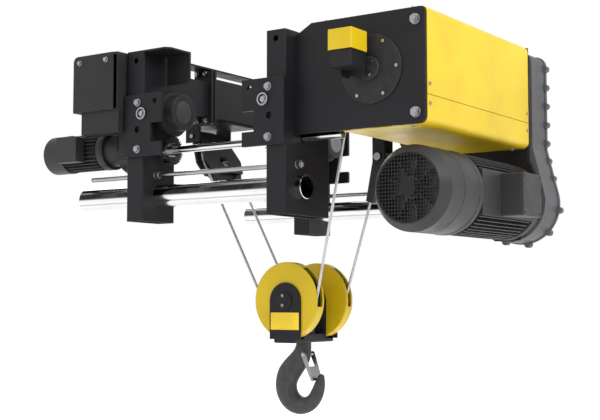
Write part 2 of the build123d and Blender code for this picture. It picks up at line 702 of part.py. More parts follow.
first_shaft = train[0][2] * (train[0][0] + train[0][1]) / 2
second_shaft = first_shaft + train[1][2] * (train[1][0] + train[1][1]) / 2
case_y = (mount_plate[1], 420.0)

with BuildPart() as first_gear_shaft:
    bar("y", (case_y[0] + 4, 414), along_train(first_shaft), 16)
    train_gear(gear_layers[0], first_shaft, False, train[0][1], train[0][2], False, 15)
    train_gear(gear_layers[1], first_shaft, True, train[1][0], train[1][2], True, 15)
first_gear_shaft.part.label = "first_gear_shaft"
export_step(first_gear_shaft.part, "parts/first_gear_shaft.step")

with BuildPart() as second_gear_shaft:
    bar("y", (case_y[0] + 4, 414), along_train(second_shaft), 20)
    train_gear(gear_layers[1], second_shaft, False, train[1][1], train[1][2], False, 19)
    train_gear(gear_layers[2], second_shaft, True, train[2][0], train[2][2], True, 19)
second_gear_shaft.part.label = "second_gear_shaft"
export_step(second_gear_shaft.part, "parts/second_gear_shaft.step")

with BuildPart() as drum_gear:
    train_gear(gear_layers[2], train_length, False, train[2][1], train[2][2], False, shaft_radius + fit)
    bar("y", (gear_layers[2][1], gear_layers[2][1] + 8), drum_place, 50)
    bar("y", (gear_layers[2][0] - 1, gear_layers[2][1] + 9), drum_place, shaft_radius + fit,
        mode=Mode.SUBTRACT)
drum_gear.part.label = "drum_gear"
export_step(drum_gear.part, "parts/drum_gear.step")

# ---- Gearbox casing and the plate that carries the drum and the motor ----
lobe_radius = 176.0


def casing_outline(grow):
    """The casing's outline seen along Y, grown outwards: a rounded block blended into a lobe round the motor."""
    left, right, level = 574 - grow, 1040 + grow, -70
    reach = lobe_radius + grow
    corners = []
    for x, turn in ((right, -1), (left, 1)):
        away = (x - motor_x, level - motor_z)
        angle = math.atan2(away[1], away[0]) + turn * math.acos(reach / math.hypot(*away))
        corners += [(x, -level), (motor_x + reach * math.cos(angle), -motor_z - reach * math.sin(angle))]
    with BuildSketch(mode=Mode.PRIVATE) as outline:
        with Locations((807, -127)):
            RectangleRounded(466 + 2 * grow, 456 + 2 * grow, 44 + grow)
        with Locations((motor_x, -motor_z)):
            Circle(reach)
        with BuildLine():
            Polyline(corners[0], corners[1], (motor_x, -motor_z), corners[3], corners[2], close=True)
        make_face()
    return outline.sketch


def casing_slab(y, grow, mode=Mode.ADD):
    plane = Plane(origin=(0, y[0], 0), x_dir=(1, 0, 0), z_dir=(0, 1, 0))
    return extrude(plane * casing_outline(grow), amount=y[1] - y[0], dir=(0, 1, 0), mode=mode)


with BuildPart() as gearbox_case:
    casing_slab(case_y, 0)
    casing_slab((case_y[0] + 11, case_y[1] + 1), -12, mode=Mode.SUBTRACT)
    for distance, radius in ((0, 22), (train_length, shaft_radius)):
        bar("y", (case_y[0] - 1, case_y[0] + 12), along_train(distance), radius + 1, mode=Mode.SUBTRACT)
    for distance, radius in ((first_shaft, 16), (second_shaft, 20)):
        bar("y", (case_y[0] + 3, case_y[0] + 12), along_train(distance), radius + run_gap, mode=Mode.SUBTRACT)
gearbox_case.part.label = "gearbox_case"
export_step(gearbox_case.part, "parts/gearbox_case.step")

with BuildPart() as gearbox_cover:
    casing_slab((case_y[1], case_y[1] + 16), 5)
    edge_points = [(1044, z) for z in (300, 215, 130, 45, -40)] + [(1052, -120), (1072, -200)]
    edge_points += [(x, 350) for x in (620, 740, 860, 980)] + [(570, z) for z in (260, 140, 20)]
    edge_points += [(motor_x + 184 * math.cos(math.radians(a)), motor_z + 184 * math.sin(math.radians(a)))
                    for a in (-10, -45, -80, -115, -150)]
    for place in edge_points:
        bar("y", (case_y[1] - 14, case_y[1] + 16), place, 15)
        nut("y", (case_y[1] + 16, case_y[1] + 24), place, 17)
    casing_slab((case_y[1] - 15, case_y[1]), 0.3, mode=Mode.SUBTRACT)
    for place, radius in ((motor_place, 40), (along_train(second_shaft), 46), (drum_place, 70)):
        bar("y", (case_y[1] + 16, case_y[1] + 22), place, radius)
gearbox_cover.part.label = "gearbox_cover"
export_step(gearbox_cover.part, "parts/gearbox_cover.step")

with BuildPart() as mounting_plate:
    with BuildSketch(Plane.XZ.offset(-mount_plate[1])) as face:
        with BuildLine():
            Polyline((case_left, case_bottom), (640, case_bottom - 90), (motor_x - 165, motor_z - 90),
                     (motor_x - 60, motor_z - 170), (motor_x + 60, motor_z - 170), (motor_x + 160, motor_z - 60),
                     (motor_x + 160, motor_z + 60), (case_right - 2, motor_z + 190), (case_right - 2, case_top),
                     (508, case_top), (case_left, 328), close=True)
        make_face()
        with Locations(drum_place):
            Circle(bearing_radius + fit, mode=Mode.SUBTRACT)
        with Locations(motor_place):
            Circle(50, mode=Mode.SUBTRACT)
        with Locations(*tie_places):
            Circle(tie_bar_radius + fit, mode=Mode.SUBTRACT)
    extrude(amount=mount_plate[1] - mount_plate[0])
mounting_plate.part.label = "mounting_plate"
export_step(mounting_plate.part, "parts/mounting_plate.step")

# ---- Hoist motor ----
cowl_span = (motor_front_y, -320.0)
stator_span = (-322.0, mount_plate[0])
fin_count = 56

with BuildPart() as hoist_motor:
    bar("y", (-315, stator_span[1]), motor_place, 146)
    for turn in range(fin_count):
        angle = 360 * (turn + 0.5) / fin_count
        if 35 < angle < 325:
            with Locations((motor_x + 154 * math.cos(math.radians(angle)), -50,
                            motor_z + 154 * math.sin(math.radians(angle)))):
                Box(30, 480, 4.5, rotation=(0, -angle, 0))
    bar("y", (stator_span[1] - 46, stator_span[1]), motor_place, 168)
    block((motor_x + 100, motor_x + 152), (-330 + 40, 200), (motor_z - 92, motor_z + 92))
    bar("y", (-290, 240), motor_place, 104, mode=Mode.SUBTRACT)
    bar("y", (-316, stator_span[1] + 1), motor_place, 22 + run_gap, mode=Mode.SUBTRACT)
hoist_motor.part.label = "hoist_motor"
export_step(hoist_motor.part, "parts/hoist_motor.step")

with BuildPart() as motor_rotor:
    bar("y", (-606, gear_layers[0][0]), motor_place, 22)
    bar("y", (gear_layers[0][0] - 1, gear_layers[0][1] + 6), motor_place, 12)
    bar("y", (-230, 190), motor_place, 95)
    train_gear(gear_layers[0], 0, True, train[0][0], train[0][2], True, 11)
motor_rotor.part.label = "motor_rotor"

with BuildPart() as motor_fan:
    bar("y", (-600, -540), motor_place, 44)
    bar("y", (-546, -540), motor_place, 140)
    for turn in range(9):
        angle = 40 * turn
        with Locations((motor_x + 90 * math.cos(math.radians(angle)), -568,
                        motor_z + 90 * math.sin(math.radians(angle)))):
            Box(98, 46, 4, rotation=(0, -angle, 0))
    bar("y", (-601, -539), motor_place, 22 + 0.02, mode=Mode.SUBTRACT)
motor_fan.part.label = "motor_fan"

grille_radius = 137.5
with BuildPart() as fan_cowl:
    with BuildSketch(Plane(origin=(motor_x, 0, motor_z), x_dir=(1, 0, 0), z_dir=(0, 0, 1))) as section:
        with BuildLine():
            Polyline((grille_radius, cowl_span[0]), (grille_radius + 5, cowl_span[0]),
                     (motor_radius, cowl_span[0] + 44), (motor_radius, -482), (motor_radius - 2, -482),
                     (motor_radius - 2, -478), (motor_radius, -478), (motor_radius, cowl_span[1] - 30),
                     (motor_radius + 1.5, cowl_span[1] - 30), (motor_radius + 1.5, cowl_span[1]),
                     (motor_radius - 4, cowl_span[1]), (motor_radius - 4, cowl_span[0] + 47),
                     (grille_radius, cowl_span[0] + 6), close=True)
        make_face()
    revolve(axis=Axis((motor_x, 0, motor_z), (0, 1, 0)))
    for turn in range(4):
        angle = math.radians(45 + 90 * turn)
        place = (motor_x + 158 * math.cos(angle), motor_z + 158 * math.sin(angle))
        bar("y", (cowl_span[1] - 26, cowl_span[1] + 5), place, 9)
fan_cowl.part.label = "fan_cowl"
export_step(fan_cowl.part, "parts/fan_cowl.step")

mesh_pitch = 14.0
mesh_wire = 4.0
with BuildPart() as fan_grille:
    grille_y = (cowl_span[0] + 1, cowl_span[0] + 5)
    wires = int(grille_radius / mesh_pitch)
    for number in range(-wires, wires + 1):
        place = number * mesh_pitch
        half = math.sqrt(grille_radius**2 - (abs(place) + mesh_wire) ** 2) - 1
        block((motor_x + place - mesh_wire / 2, motor_x + place + mesh_wire / 2), grille_y,
              (motor_z - half, motor_z + half))
        block((motor_x - half, motor_x + half), grille_y,
              (motor_z + place - mesh_wire / 2, motor_z + place + mesh_wire / 2))
    bar("y", grille_y, motor_place, 34)
    with BuildSketch(Plane(origin=(motor_x, grille_y[0], motor_z), x_dir=(1, 0, 0), z_dir=(0, 1, 0))):
        Circle(grille_radius - 0.2)
        Circle(grille_radius - 5, mode=Mode.SUBTRACT)
    extrude(amount=4)
fan_grille.part.label = "fan_grille"
export_step(fan_grille.part, "parts/fan_grille.step")

box_right = 1162.0
with BuildPart() as terminal_box:
    block((motor_x + 152, box_right), (-118, 63), (-400, -222))
    fillet(terminal_box.edges().filter_by(Axis.X), radius=8)
terminal_box.part.label = "terminal_box"

with BuildPart() as terminal_box_lid:
    block((box_right, box_right + 9), (-118, 63), (-400, -222))
    fillet(terminal_box_lid.edges().filter_by(Axis.X), radius=8)
    chamfer(terminal_box_lid.faces().sort_by(Axis.X)[-1].edges(), length=2)
    for y in (-104, 49):
        for z in (-386, -236):
            bar("x", (box_right + 9, box_right + 12), (y, z), 5)
terminal_box_lid.part.label = "terminal_box_lid"

# ---- Rope route: drum, front hook sheave, return sheave, rear hook sheave, wedge socket ----
front_fall_y = block_y - fall_spacing / 2
rear_fall_y = block_y + fall_spacing / 2
right_x = block_x + sheave_radius
left_x = block_x - sheave_radius
fall_lean = math.radians(28.1)          # of the two left falls from upright
return_centre = Vector(-482.0, block_y, -84.0)
return_axis = Vector(math.cos(fall_lean), 0, math.sin(fall_lean))
return_up = Vector(-math.sin(fall_lean), 0, math.cos(fall_lean))
along_y = Vector(0, 1, 0)

drum_exit = Vector(drum_x - drum_pitch_radius, drum_rope_y, drum_z)
socket_mouth = Vector(311, rear_fall_y, -292)
socket_way = (socket_mouth - Vector(right_x, rear_fall_y, block_z)).normalized()

falls = {
    "drum_fall": [(Vector(right_x, front_fall_y, block_z), drum_exit)],
    "left_falls": [(Vector(left_x, front_fall_y, block_z), return_centre - along_y * return_radius),
                   (Vector(left_x, rear_fall_y, block_z), return_centre + along_y * return_radius)],
    "anchor_fall": [(Vector(right_x, rear_fall_y, block_z), socket_mouth + socket_way * 60)],
}
clear_of_wrap = 4.0
for node, runs in falls.items():
    with BuildPart() as fall:
        for tangent, high in runs:
            low = tangent + (high - tangent).normalized() * clear_of_wrap
            with BuildSketch(Plane(origin=low, z_dir=high - low)):
                Circle(rope_radius)
            extrude(amount=(high - low).length)
    fall.part.label = node
    export_step(fall.part, f"parts/{node}.step")

with BuildPart() as block_rope:
    for y in (front_fall_y, rear_fall_y):
        with BuildSketch(Plane(origin=(right_x, y, block_z), z_dir=(0, 0, -1))):
            Circle(rope_radius)
        revolve(axis=Axis((block_x, y, block_z), (0, 1, 0)), revolution_arc=180)
block_rope.part.label = "block_rope"
export_step(block_rope.part, "parts/block_rope.step")

with BuildPart() as return_rope:
    start = return_centre + along_y * return_radius
    with BuildSketch(Plane(origin=start, z_dir=return_up)):
        Circle(rope_radius)
    revolve(axis=Axis(return_centre, return_axis), revolution_arc=180)
return_rope.part.label = "return_rope"
export_step(return_rope.part, "parts/return_rope.step")

# ---- Return sheave, hung under the left side beam ----
pin_radius = 22.0
return_plane = Plane(origin=return_centre, x_dir=along_y, z_dir=return_axis)
hanger_z = (101.0, 115.0)

with BuildPart() as return_sheave:
    sheave_ring(return_centre, return_axis, along_y, return_radius, 34, pin_radius + run_gap)
return_sheave.part.label = "return_sheave"
export_step(return_sheave.part, "parts/return_sheave.step")

with BuildPart() as return_block:
    for start in (-31.0, 22.0):
        with BuildSketch(return_plane.offset(start)):
            with BuildLine():
                Polyline((-118, -52), (118, -52), (142, 20), (92, 172), (-92, 172), (-142, 20), close=True)
            make_face()
            Circle(pin_radius + fit, mode=Mode.SUBTRACT)
        extrude(amount=9)
    with BuildSketch(return_plane.offset(-22)):
        with Locations((0, 158)):
            Rectangle(184, 28)
    extrude(amount=44)
    pivot = return_centre + return_up * 158
    bar("y", (block_y - 150, block_y + 150), (pivot.X, pivot.Z), 10 + fit, mode=Mode.SUBTRACT)
return_block.part.label = "return_block"
export_step(return_block.part, "parts/return_block.step")

with BuildPart() as return_pin:
    with BuildSketch(return_plane.offset(-40)):
        Circle(pin_radius)
    extrude(amount=84)
    with BuildSketch(return_plane.offset(31)):
        Circle(30)
        Circle(pin_radius, mode=Mode.SUBTRACT)
    extrude(amount=7)
    for across in (-8, 8):
        with BuildSketch(return_plane.offset(44)):
            with Locations((across, 0)):
                RegularPolygon(7, 6)
        extrude(amount=5)
return_pin.part.label = "return_pin"

hanger_place = return_centre + return_up * 158
with BuildPart() as return_hanger:
    block((-640, -350), (block_y - 126, block_y + 126), hanger_z)
    for y in (block_y - 126, block_y + 112):
        block((hanger_place.X - 42, hanger_place.X + 42), (y, y + 14), (hanger_place.Z - 30, hanger_z[1]))
    bar("y", (block_y - 127, block_y + 127), (hanger_place.X, hanger_place.Z), 10 + fit, mode=Mode.SUBTRACT)
return_hanger.part.label = "return_hanger"

with BuildPart() as hanger_pin:
    bar("y", (block_y - 136, block_y + 136), (hanger_place.X, hanger_place.Z), 10)
hanger_pin.part.label = "hanger_pin"

# ---- Wedge socket for the rope's fixed end, pinned under the right side beam ----
socket_plane = Plane(origin=socket_mouth, x_dir=along_y, z_dir=socket_way)
socket_length = 190.0
anchor_point = socket_mouth + socket_way * (socket_length + 24)

with BuildPart() as wedge_socket:
    with BuildSketch(socket_plane):
        Rectangle(30, 34)
    with BuildSketch(socket_plane.offset(socket_length)):
        Rectangle(44, 66)
    loft()
    with Locations(anchor_point):
        Box(44, 44, 52, rotation=(0, math.degrees(math.atan2(socket_way.X, socket_way.Z)), 0))
    with BuildSketch(socket_plane.offset(-1)):
        Circle(rope_radius + 2)
    extrude(amount=socket_length * 0.5, mode=Mode.SUBTRACT)
    bar("y", (rear_fall_y - 40, rear_fall_y + 40), (anchor_point.X, anchor_point.Z), 12 + run_gap,
        mode=Mode.SUBTRACT)
wedge_socket.part.label = "wedge_socket"
export_step(wedge_socket.part, "parts/wedge_socket.step")

with BuildPart() as anchor_bracket:
    for y in (rear_fall_y - 38, rear_fall_y + 24):
        block((anchor_point.X - 30, anchor_point.X + 34), (y, y + 14), (anchor_point.Z - 28, 94))
    block((anchor_point.X - 40, anchor_point.X + 44), (rear_fall_y - 60, rear_fall_y + 60), (82, 94))
    bar("y", (rear_fall_y - 40, rear_fall_y + 40), (anchor_point.X, anchor_point.Z), 12 + fit,
        mode=Mode.SUBTRACT)
anchor_bracket.part.label = "anchor_bracket"

with BuildPart() as anchor_pin:
    bar("y", (rear_fall_y - 50, rear_fall_y + 48), (anchor_point.X, anchor_point.Z), 12)
    bar("y", (rear_fall_y - 50, rear_fall_y - 42), (anchor_point.X, anchor_point.Z), 18)
anchor_pin.part.label = "anchor_pin"

# ---- Hook block: two sheaves under covers, on one pin, above a crosshead ----
block_pin_radius = 26.0
block_places = {"front": front_fall_y, "rear": rear_fall_y}
block_axis = (block_x, block_z)
cover_sheet_thick = 3.0
arch_half = 85.0
arch_thick = 8.0
arch_bottom = -921.0
arch_top_centre = block_z - 4.0
crosshead_z = (-938.0, -900.0)
outer_y = fall_spacing / 2 + cover_width / 2
inner_y = fall_spacing / 2 - cover_width / 2

sheave_covers = []
for end_name, y in block_places.items():
    with BuildPart() as block_sheave:
        sheave_ring((block_x, y, block_z), (0, 1, 0), (1, 0, 0), sheave_radius, 38, block_pin_radius + run_gap)
    block_sheave.part.label = f"{end_name}_block_sheave"
    export_step(block_sheave.part, f"parts/{end_name}_block_sheave.step")

    with BuildPart() as sheave_cover:
        bar("y", (y - cover_width / 2, y + cover_width / 2), block_axis, cover_radius)
        fillet(sheave_cover.edges().filter_by(GeomType.CIRCLE), radius=5)
        bar("y", (y - cover_width / 2 + cover_sheet_thick, y + cover_width / 2 - cover_sheet_thick), block_axis,
            cover_radius - cover_sheet_thick, mode=Mode.SUBTRACT)
        for side in SIDES.values():
            lead = 25.5 if end_name == "front" and side > 0 else 13
            block((block_x + side * 88, block_x + side * 180), (y - lead, y + 13),
                  (block_z - 28, block_z + 152), mode=Mode.SUBTRACT)
        bar("y", (y - 40, y + 40), block_axis, block_pin_radius + fit, mode=Mode.SUBTRACT)
    sheave_cover.part.label = f"{end_name}_sheave_cover"
    sheave_covers.append(sheave_cover.part)
export_group("sheave_covers", sheave_covers)


def arch_plate(y, half, thick):
    """A round-topped plate of the hook block, standing in the XZ plane."""
    block((block_x - half, block_x + half), (y, y + thick), (arch_bottom, arch_top_centre))
    bar("y", (y, y + thick), (block_x, arch_top_centre), half)


with BuildPart() as block_side_plates:
    for y in (block_y - outer_y - arch_thick, block_y + outer_y):
        arch_plate(y, arch_half, arch_thick)
        bar("y", (y - 1, y + arch_thick + 1), block_axis, block_pin_radius + fit, mode=Mode.SUBTRACT)
block_side_plates.part.label = "block_side_plates"

with BuildPart() as block_inner_plates:
    for y in (block_y - inner_y, block_y + inner_y - 14):
        arch_plate(y, 62, 14)
        bar("y", (y - 1, y + 15), block_axis, block_pin_radius + fit, mode=Mode.SUBTRACT)
block_inner_plates.part.label = "block_inner_plates"

with BuildPart() as block_pin:
    bar("y", (block_y - outer_y - arch_thick - 3, block_y + outer_y + arch_thick + 3), block_axis,
        block_pin_radius)
    for end in ENDS.values():
        face = block_y + end * (outer_y + arch_thick)
        bar("y", (face, face + end * 5), block_axis, 40)
block_pin.part.label = "block_pin"

with BuildPart() as block_plate_screws:
    for end in ENDS.values():
        face = block_y + end * (outer_y + arch_thick + 5)
        for height in (22, -22):
            bar("y", (face, face + end * 6), (block_x - 8, block_z + height), 8)
block_plate_screws.part.label = "block_plate_screws"

with BuildPart() as block_labels:
    for end in ENDS.values():
        face = block_y + end * (outer_y + arch_thick)
        block((block_x - 78, block_x + 78), (face, face + end * 1.5), (-878, -800))
    fillet(block_labels.edges().filter_by(Axis.Y), radius=3)
block_labels.part.label = "block_labels"
export_step(block_labels.part, "parts/block_labels.step")

shank_radius = 34.0
with BuildPart() as crosshead:
    reach = outer_y + arch_thick
    block((block_x - 60, block_x + 60), (block_y - reach, block_y + reach), crosshead_z)
    fillet(crosshead.edges().filter_by(Axis.Y), radius=9)
    block((block_x - 90, block_x + 90), (block_y - reach - 1, block_y + reach + 1), (arch_bottom, -899),
          mode=Mode.SUBTRACT)
    block((block_x - 60, block_x + 60), (block_y - inner_y + 14, block_y + inner_y - 14), (arch_bottom, -900))
    bar("z", (-940, -890), (block_x, block_y), shank_radius + run_gap, mode=Mode.SUBTRACT)
crosshead.part.label = "crosshead"

thrust_z = (-900.0, -884.0)
with BuildPart() as thrust_bearing:
    bar("z", (thrust_z[0], thrust_z[1] - 8.3), (block_x, block_y), 52)
    bar("z", (thrust_z[0] - 1, thrust_z[1]), (block_x, block_y), shank_radius + 1, mode=Mode.SUBTRACT)
thrust_bearing.part.label = "thrust_bearing"

with BuildPart() as hook_nut:
    bar("z", (thrust_z[1] - 8, thrust_z[1]), (block_x, block_y), 50)
    bar("z", (thrust_z[1], thrust_z[1] + 42), (block_x, block_y), 48)
    chamfer(hook_nut.edges().sort_by(Axis.Z)[-1], length=3)
    bar("z", (thrust_z[0], thrust_z[1] + 50), (block_x, block_y), shank_radius + 0.02, mode=Mode.SUBTRACT)
hook_nut.part.label = "hook_nut"
export_step(hook_nut.part, "parts/hook_nut.step")

# ---- Hook, with its latch ----
seat = (block_x, hook_seat_z)
back_radius = 139.5
back_centre = (seat[0] - 25.5, seat[1] + 5)
neck_bottom = crosshead_z[0] - 2


def on_back(degrees):
    angle = math.radians(degrees)
    return (back_centre[0] + back_radius * math.cos(angle), back_centre[1] + back_radius * math.sin(angle))


def on_seat(degrees):
    angle = math.radians(degrees)
    return (seat[0] + hook_seat_radius * math.cos(angle), seat[1] + hook_seat_radius * math.sin(angle))


def tangent_from(centre, radius, point):
    """The angle on a circle, in degrees, where the straight line to an outside point leaves it smoothly."""
    x, y = point[0] - centre[0], point[1] - centre[1]
    return math.degrees(math.atan2(y, x) - math.acos(radius / math.hypot(x, y)))


tip_outer = (seat[0] + 112, seat[1] + 48)
tip_inner = (seat[0] + 80, seat[1] + 52)
seat_end = tangent_from(seat, hook_seat_radius, tip_inner)
back_end = tangent_from(back_centre, back_radius, tip_outer)

with BuildPart() as hook:
    with BuildSketch(Plane.XZ.offset(-(block_y + hook_thickness / 2))):
        with BuildLine():
            left_neck = (block_x - shank_radius - 3, neck_bottom)
            right_neck = (block_x + shank_radius + 3, neck_bottom)
            ThreePointArc(on_back(back_end), on_back(-100), on_back(136))
            Spline(on_back(136), left_neck, tangents=((math.sin(math.radians(44)), math.cos(math.radians(44))),
                                                      (0.05, 1)))
            Line(left_neck, right_neck)
            Spline(right_neck, (seat[0] + 26, seat[1] + 112), on_seat(150), tangents=((0, -1), (-0.5, -0.87)))
            ThreePointArc(on_seat(150), on_seat(250), on_seat(seat_end))
            Line(on_seat(seat_end), tip_inner)
            ThreePointArc(tip_inner, (seat[0] + 98, seat[1] + 66), tip_outer)
            Line(tip_outer, on_back(back_end))
        make_face()
    extrude(amount=hook_thickness)
    outline_edges = hook.edges().filter_by(lambda edge: abs(edge.tangent_at(0.5).Y) < 0.5)
    fillet(outline_edges.filter_by(lambda edge: edge.center().Z < neck_bottom - 5), radius=8)
    bar("z", (neck_bottom - 8, thrust_z[1] + 54), (block_x, block_y), shank_radius)
    bar("y", (block_y - 50, block_y + 50), (seat[0] + 22, seat[1] + 150), 7 + run_gap, mode=Mode.SUBTRACT)
hook.part.label = "hook"

latch_pivot = (seat[0] + 22, seat[1] + 150)
with BuildPart() as hook_latch:
    for end in ENDS.values():
        near = block_y + end * (hook_thickness / 2 + 1)
        far = near + end * 4
        with BuildSketch(Plane.XZ.offset(-max(near, far))):
            with BuildLine():
                Polyline((latch_pivot[0] - 12, latch_pivot[1] + 16), (latch_pivot[0] + 16, latch_pivot[1] + 14),
                         (seat[0] + 78, seat[1] + 34), (seat[0] + 64, seat[1] + 28),
                         (latch_pivot[0] + 18, latch_pivot[1] - 42), (latch_pivot[0] - 14, latch_pivot[1] - 16),
                         close=True)
            make_face()
            with Locations(latch_pivot):
                Circle(7.1, mode=Mode.SUBTRACT)
        extrude(amount=4)
    with BuildSketch(Plane.XZ.offset(-(block_y + hook_thickness / 2 + 5))):
        with BuildLine():
            Polyline((seat[0] + 48, seat[1] + 82), (seat[0] + 63, seat[1] + 30), (seat[0] + 67, seat[1] + 32),
                     (seat[0] + 52, seat[1] + 84), close=True)
        make_face()
    extrude(amount=hook_thickness + 10)
hook_latch.part.label = "hook_latch"
export_step(hook_latch.part, "parts/hook_latch.step")

with BuildPart() as latch_pin:
    bar("y", (block_y - 42, block_y + 42), latch_pivot, 7)
latch_pin.part.label = "latch_pin"

# ---- Nodes that hold several separate pieces ----
export_group("fasteners", [end_plate_bolts.part, tie_rod_nuts.part, splice_bolts.part, electrical_box_screws.part,
                           cover_screws.part, bearing_flange_bolts.part])
export_group("side_beams", [*left_beams, left_beam_cap.part, right_beam.part, wheel_hood.part])
export_group("electrical_box", [electrical_box.part, electrical_box_lid.part, electrical_panel.part])
export_group("wheel_axles", [wheel_axles.part, wheel_caps.part, axle_keepers.part])
export_group("travel_rotor", [travel_rotor.part, travel_fan.part])
export_group("travel_motor", [travel_motor.part, travel_terminal_box.part])
export_group("tie_rods", [tie_rods.part, tie_bars.part, guide_bar.part])
export_group("drum_bearings", [drum_bearings.part, bearing_flange.part])
export_group("terminal_box", [terminal_box.part, terminal_box_lid.part])
export_group("frame_pins", [return_pin.part, hanger_pin.part, anchor_pin.part])
export_group("rope_brackets", [return_hanger.part, anchor_bracket.part])
export_group("motor_rotor", [motor_rotor.part, motor_fan.part])
export_group("block_plates", [block_side_plates.part, block_inner_plates.part])
export_group("block_pin", [block_pin.part, block_plate_screws.part])
export_group("crosshead", [crosshead.part, thrust_bearing.part])
export_group("hook", [hook.part, latch_pin.part])
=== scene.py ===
import json
import math

import bmesh
import bpy
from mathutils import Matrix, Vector

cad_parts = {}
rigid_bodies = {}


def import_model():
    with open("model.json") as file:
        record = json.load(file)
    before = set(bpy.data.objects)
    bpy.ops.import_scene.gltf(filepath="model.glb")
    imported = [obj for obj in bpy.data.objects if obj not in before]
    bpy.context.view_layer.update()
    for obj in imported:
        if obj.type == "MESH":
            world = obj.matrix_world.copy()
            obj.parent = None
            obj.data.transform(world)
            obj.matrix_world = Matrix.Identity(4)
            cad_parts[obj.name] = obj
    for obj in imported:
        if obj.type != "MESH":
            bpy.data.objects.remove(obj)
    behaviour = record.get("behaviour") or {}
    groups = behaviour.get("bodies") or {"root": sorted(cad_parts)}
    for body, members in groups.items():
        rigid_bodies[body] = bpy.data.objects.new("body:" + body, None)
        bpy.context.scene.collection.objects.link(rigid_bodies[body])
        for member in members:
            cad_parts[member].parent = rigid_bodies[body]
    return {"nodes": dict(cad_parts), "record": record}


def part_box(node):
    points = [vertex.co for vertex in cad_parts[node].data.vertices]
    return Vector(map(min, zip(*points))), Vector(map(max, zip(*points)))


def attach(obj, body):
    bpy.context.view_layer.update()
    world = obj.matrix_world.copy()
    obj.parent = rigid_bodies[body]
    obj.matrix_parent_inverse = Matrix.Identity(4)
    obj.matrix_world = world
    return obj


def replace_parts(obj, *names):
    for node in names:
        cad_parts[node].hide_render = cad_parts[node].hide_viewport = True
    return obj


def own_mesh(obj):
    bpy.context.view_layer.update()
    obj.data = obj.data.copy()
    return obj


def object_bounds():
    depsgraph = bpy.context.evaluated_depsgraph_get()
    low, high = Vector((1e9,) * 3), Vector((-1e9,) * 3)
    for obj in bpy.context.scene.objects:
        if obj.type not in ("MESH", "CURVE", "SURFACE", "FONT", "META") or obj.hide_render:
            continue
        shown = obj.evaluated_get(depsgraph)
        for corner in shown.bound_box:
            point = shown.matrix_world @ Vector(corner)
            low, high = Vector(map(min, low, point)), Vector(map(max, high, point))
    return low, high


for leftover in list(bpy.data.objects):
    bpy.data.objects.remove(leftover)

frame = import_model()
cad_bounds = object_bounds()

# ---- Sizes and places that the CAD model sets, in metres ----
ROPE_RADIUS = 0.0065
BLOCK = Vector((0.020, -0.018, -0.745))
SHEAVE_RADIUS = 0.150
FALL_SPACING = 0.240
DRUM_EXIT = Vector((0.630, -0.545, 0.154))
RETURN_CENTRE = Vector((-0.482, -0.018, -0.084))
RETURN_RADIUS = 0.120
FALL_LEAN = math.radians(28.1)
SOCKET_MOUTH = Vector((0.311, 0.102, -0.292))
SEAT = Vector((0.020, -0.018, -1.143))
SEAT_RADIUS = 0.048
BACK_CENTRE = (-0.0255, 0.005)      # from the seat, in X and Z
BACK_RADIUS = 0.1395
SHANK_RADIUS = 0.034
LATCH_PIVOT = SEAT + Vector((0.022, 0, 0.150))
ROPE_IN_SOCKET = 0.060      # how far the rope runs on beyond the wedge socket's mouth

# ---- Sizes that only the looks need, in metres ----
ROPE_LAY = 0.085            # length in which a strand goes once round the rope
ROPE_SIDES = 36
ROPE_STEP = 0.006           # between two rings of the rope's mesh
ROPE_VALLEY = 0.80          # between two strands, as a share of the rope's radius
ROPE_SWELL = 0.195          # how much further out a strand reaches, as the same share
ROPE_FULLNESS = 0.6         # the lower, the rounder each strand is
LATCH_TIP = SEAT + Vector((0.0705, 0, 0.030))
HOOK_SIDES = 20
HOOK_SQUARENESS = 0.86      # below 1, the hook's section is fuller than an ellipse
FLOOR_DROP = 0.35           # from the CAD's lowest point down to the floor
FLOOR_HALF = 60             # half the floor's width

CAMERA_PLACE = (3.1665, -4.596, -0.7407)
CAMERA_TURN = (math.radians(94.3), 0, math.radians(34.7))
CAMERA_LENS = 71.4          # mm, on a sensor 36 mm wide
CAMERA_SENSOR = 36


# ---- Camera, light and floor ----
def make_camera():
    data = bpy.data.cameras.new("camera")
    data.lens = CAMERA_LENS
    data.sensor_width = CAMERA_SENSOR
    camera = bpy.data.objects.new("camera", data)
    camera.location = CAMERA_PLACE
    camera.rotation_euler = CAMERA_TURN
    bpy.context.collection.objects.link(camera)
    bpy.context.scene.camera = camera


def area_light(name, place, target, size, power):
    """A rectangular lamp at place, facing target. Sizes are in metres and the power is in watts."""
    data = bpy.data.lights.new(name, "AREA")
    data.shape = "RECTANGLE"
    data.size, data.size_y = size
    data.energy = power
    lamp = bpy.data.objects.new(name, data)
    lamp.location = place
    lamp.rotation_euler = (Vector(target) - Vector(place)).to_track_quat("-Z", "Y").to_euler()
    bpy.context.collection.objects.link(lamp)


